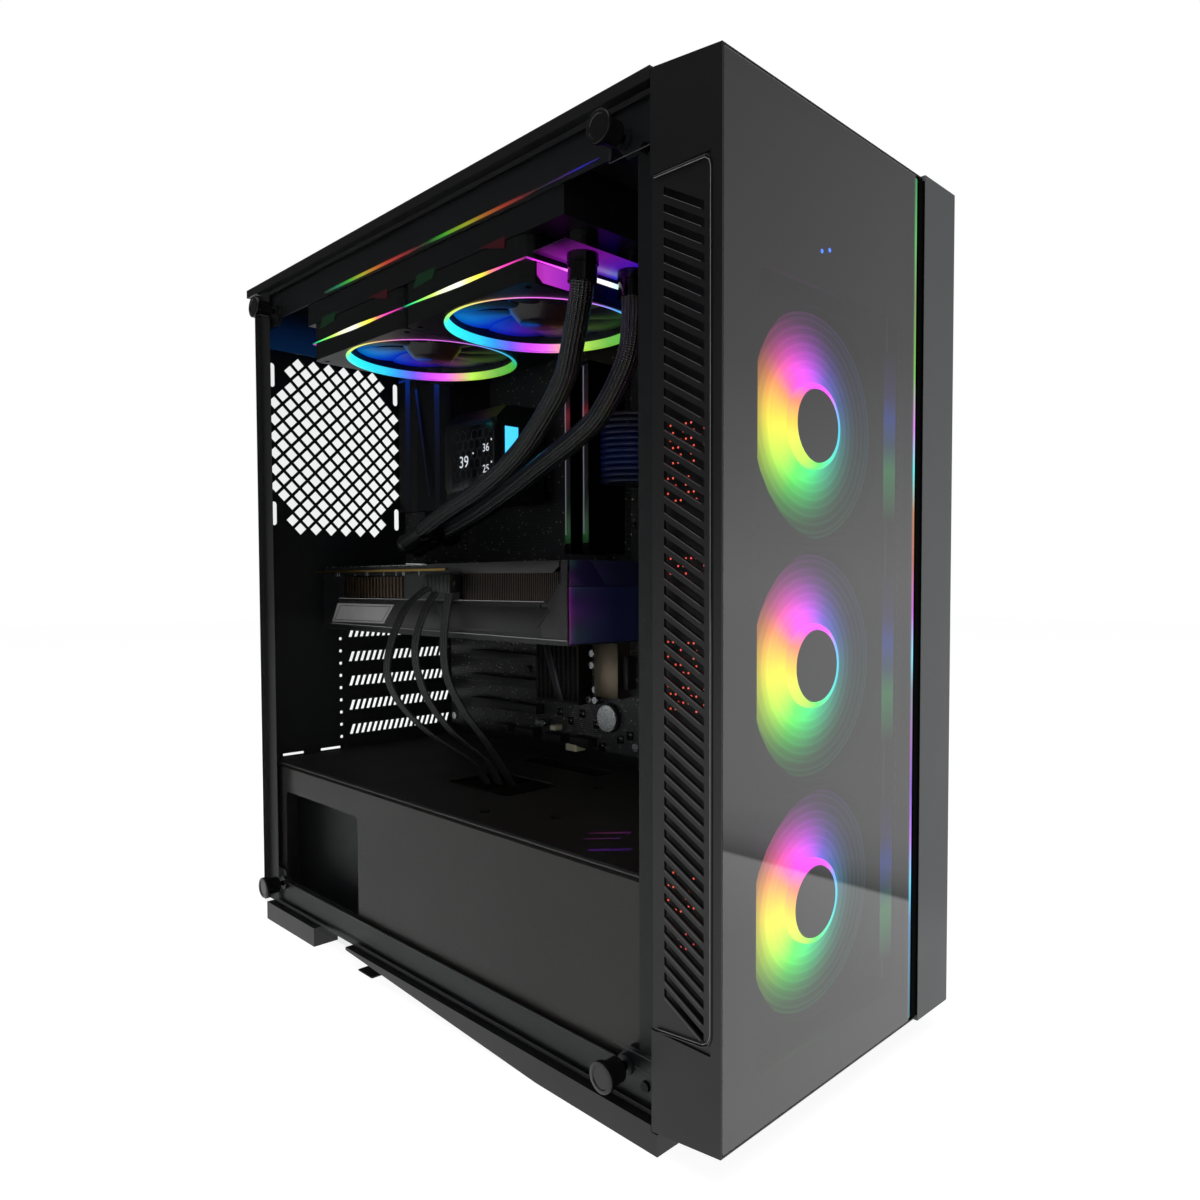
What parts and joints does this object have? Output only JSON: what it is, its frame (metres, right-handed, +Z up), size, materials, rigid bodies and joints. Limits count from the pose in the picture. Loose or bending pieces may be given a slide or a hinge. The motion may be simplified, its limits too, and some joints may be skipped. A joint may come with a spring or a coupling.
{
  "type": "desktop computer tower",
  "caption": "Black mid-tower desktop computer with a glass side, a tinted glass front, lit fans, a liquid cooler, a graphics card and a shrouded power supply.",
  "frame": {"origin": "middle of the footprint of the whole tower, on the floor", "axes": "+Z up; -Y out of the front panel; +X to the right seen from the front; the glass side faces -X"},
  "size_m": [0.2214, 0.4676, 0.482],
  "materials": {
    "powder_coated_steel": "black powder coat with a fine grain",
    "painted_aluminium": "black paint, satin",
    "black_plastic": "moulded black, satin",
    "fan_plastic": "moulded black, matt",
    "translucent_blade": "frosted, lets light through",
    "board_laminate": "black solder mask",
    "bare_metal": "dark anodised, satin",
    "heat_spreader": "black anodised, brushed",
    "satin_cover": "satin black",
    "card_shroud": "moulded dark grey, satin",
    "cable_sheath": "black combed wires",
    "sleeved_hose": "braided black sleeve",
    "tinted_glass": "dark tinted, polished",
    "clear_glass": "clear, polished",
    "light_diffuser": "milky white",
    "display_glass": "black, polished"
  },
  "bodies": {
    "chassis": {"base_pan": "powder_coated_steel", "chipset_heatsink": "heat_spreader", "coolant_hose_return": "sleeved_hose", "coolant_hose_supply": "sleeved_hose", "corner_bracket_front_bottom": "powder_coated_steel", "corner_bracket_front_top": "powder_coated_steel", "corner_bracket_rear_bottom": "powder_coated_steel", "corner_bracket_rear_top": "powder_coated_steel", "front_fan_frame_1": "fan_plastic", "front_fan_frame_2": "fan_plastic", "front_fan_frame_3": "fan_plastic", "front_foot": "black_plastic", "front_wall": "powder_coated_steel", "graphics_cable": "cable_sheath", "graphics_card": "card_shroud", "io_cover": "satin_cover", "main_power_cable": "cable_sheath", "memory_stick_1": "heat_spreader", "memory_stick_2": "heat_spreader", "motherboard": "board_laminate", "motherboard_tray": "powder_coated_steel", "power_supply": "powder_coated_steel", "psu_shroud": "powder_coated_steel", "pump_display": "display_glass", "pump_head": "black_plastic", "radiator": "painted_aluminium", "rear_foot_left": "black_plastic", "rear_foot_right": "black_plastic", "rear_wall": "powder_coated_steel", "top_cover": "black_plastic", "top_fan_frame_1": "fan_plastic", "top_fan_frame_2": "fan_plastic", "top_plate": "powder_coated_steel"},
    "front_fan_1": {"front_fan_rotor_1": "translucent_blade"},
    "front_fan_2": {"front_fan_rotor_2": "translucent_blade"},
    "front_fan_3": {"front_fan_rotor_3": "translucent_blade"},
    "top_fan_1": {"top_fan_rotor_1": "translucent_blade"},
    "top_fan_2": {"top_fan_rotor_2": "translucent_blade"},
    "graphics_rotor_1": {"graphics_fan_1": "fan_plastic"},
    "graphics_rotor_2": {"graphics_fan_2": "fan_plastic"},
    "graphics_rotor_3": {"graphics_fan_3": "fan_plastic"},
    "psu_rotor": {"psu_fan_rotor": "fan_plastic"},
    "front_panel": {"front_shell": "black_plastic", "front_glass": "tinted_glass", "light_strip": "light_diffuser", "front_pillar": "black_plastic", "front_io_ports": "black_plastic"},
    "power_key": {"power_button": "bare_metal"},
    "reset_key": {"reset_button": "bare_metal"},
    "mains_rocker": {"psu_switch": "black_plastic"},
    "glass_panel": {"side_glass": "clear_glass"},
    "window_screw_front_bottom": {"window_thumbscrew_front_bottom": "black_plastic"},
    "window_screw_front_top": {"window_thumbscrew_front_top": "black_plastic"},
    "window_screw_rear_bottom": {"window_thumbscrew_rear_bottom": "black_plastic"},
    "window_screw_rear_top": {"window_thumbscrew_rear_top": "black_plastic"},
    "right_side_panel": {"right_panel": "powder_coated_steel"},
    "panel_screw_lower": {"panel_thumbscrew_lower": "bare_metal"},
    "panel_screw_upper": {"panel_thumbscrew_upper": "bare_metal"},
    "top_filter": {"top_dust_filter": "black_plastic"},
    "bottom_filter": {"psu_dust_filter": "black_plastic"}
  },
  "joints": [
    {"name": "front_fan_1_spin", "type": "hinge", "parent": "chassis", "child": "front_fan_1", "pos_m": [-0.00235, -0.19275, 0.0965], "axis": [0, 1, 0], "continuous": true},
    {"name": "front_fan_2_spin", "type": "hinge", "parent": "chassis", "child": "front_fan_2", "pos_m": [-0.00235, -0.19275, 0.2165], "axis": [0, 1, 0], "continuous": true},
    {"name": "front_fan_3_spin", "type": "hinge", "parent": "chassis", "child": "front_fan_3", "pos_m": [-0.00235, -0.19275, 0.3365], "axis": [0, 1, 0], "continuous": true},
    {"name": "top_fan_1_spin", "type": "hinge", "parent": "chassis", "child": "top_fan_1", "pos_m": [-0.03135, -0.03675, 0.4392], "axis": [0, 0, 1], "continuous": true},
    {"name": "top_fan_2_spin", "type": "hinge", "parent": "chassis", "child": "top_fan_2", "pos_m": [-0.03135, 0.08325, 0.4392], "axis": [0, 0, 1], "continuous": true},
    {"name": "graphics_fan_1_spin", "type": "hinge", "parent": "chassis", "child": "graphics_rotor_1", "pos_m": [0.0062, -0.02775, 0.234], "axis": [0, 0, 1], "continuous": true},
    {"name": "graphics_fan_2_spin", "type": "hinge", "parent": "chassis", "child": "graphics_rotor_2", "pos_m": [0.0062, 0.06425, 0.234], "axis": [0, 0, 1], "continuous": true},
    {"name": "graphics_fan_3_spin", "type": "hinge", "parent": "chassis", "child": "graphics_rotor_3", "pos_m": [0.0062, 0.15625, 0.234], "axis": [0, 0, 1], "continuous": true},
    {"name": "psu_fan_spin", "type": "hinge", "parent": "chassis", "child": "psu_rotor", "pos_m": [0.00565, 0.15595, 0.0388], "axis": [0, 0, 1], "continuous": true},
    {"name": "front_panel_pull", "type": "slide", "parent": "chassis", "child": "front_panel", "axis": [0, -1, 0], "range_m": [0, 0.05]},
    {"name": "power_button_press", "type": "slide", "parent": "front_panel", "child": "power_key", "axis": [0, 0, -1], "range_m": [0, 0.0015], "stiffness_N_per_m": 500, "springref_m": -0.0008},
    {"name": "reset_button_press", "type": "slide", "parent": "front_panel", "child": "reset_key", "axis": [0, 0, -1], "range_m": [0, 0.001], "stiffness_N_per_m": 400, "springref_m": -0.0008},
    {"name": "psu_switch_rock", "type": "hinge", "parent": "chassis", "child": "mains_rocker", "pos_m": [-0.01435, 0.22145, 0.0578], "axis": [1, 0, 0], "range_deg": [-14, 0]},
    {"name": "side_glass_removal", "type": "slide", "parent": "chassis", "child": "glass_panel", "axis": [-1, 0, 0], "range_m": [0, 0.1]},
    {"name": "window_thumbscrew_front_bottom_turn", "type": "hinge", "parent": "glass_panel", "child": "window_screw_front_bottom", "pos_m": [-0.09935, -0.17105, 0.031], "axis": [1, 0, 0], "continuous": true},
    {"name": "window_thumbscrew_front_top_turn", "type": "hinge", "parent": "glass_panel", "child": "window_screw_front_top", "pos_m": [-0.09935, -0.17105, 0.4595], "axis": [1, 0, 0], "continuous": true},
    {"name": "window_thumbscrew_rear_bottom_turn", "type": "hinge", "parent": "glass_panel", "child": "window_screw_rear_bottom", "pos_m": [-0.09935, 0.19625, 0.031], "axis": [1, 0, 0], "continuous": true},
    {"name": "window_thumbscrew_rear_top_turn", "type": "hinge", "parent": "glass_panel", "child": "window_screw_rear_top", "pos_m": [-0.09935, 0.19625, 0.4595], "axis": [1, 0, 0], "continuous": true},
    {"name": "right_panel_slide", "type": "slide", "parent": "chassis", "child": "right_side_panel", "axis": [0, 1, 0], "range_m": [0, 0.02]},
    {"name": "panel_thumbscrew_lower_turn", "type": "hinge", "parent": "right_side_panel", "child": "panel_screw_lower", "pos_m": [0.09665, 0.22855, 0.11], "axis": [0, 1, 0], "continuous": true},
    {"name": "panel_thumbscrew_upper_turn", "type": "hinge", "parent": "right_side_panel", "child": "panel_screw_upper", "pos_m": [0.09665, 0.22855, 0.4], "axis": [0, 1, 0], "continuous": true},
    {"name": "top_dust_filter_lift", "type": "slide", "parent": "chassis", "child": "top_filter", "axis": [0, 0, 1], "range_m": [0, 0.05]},
    {"name": "psu_dust_filter_slide", "type": "slide", "parent": "chassis", "child": "bottom_filter", "axis": [0, 1, 0], "range_m": [0, 0.16]}
  ]
}
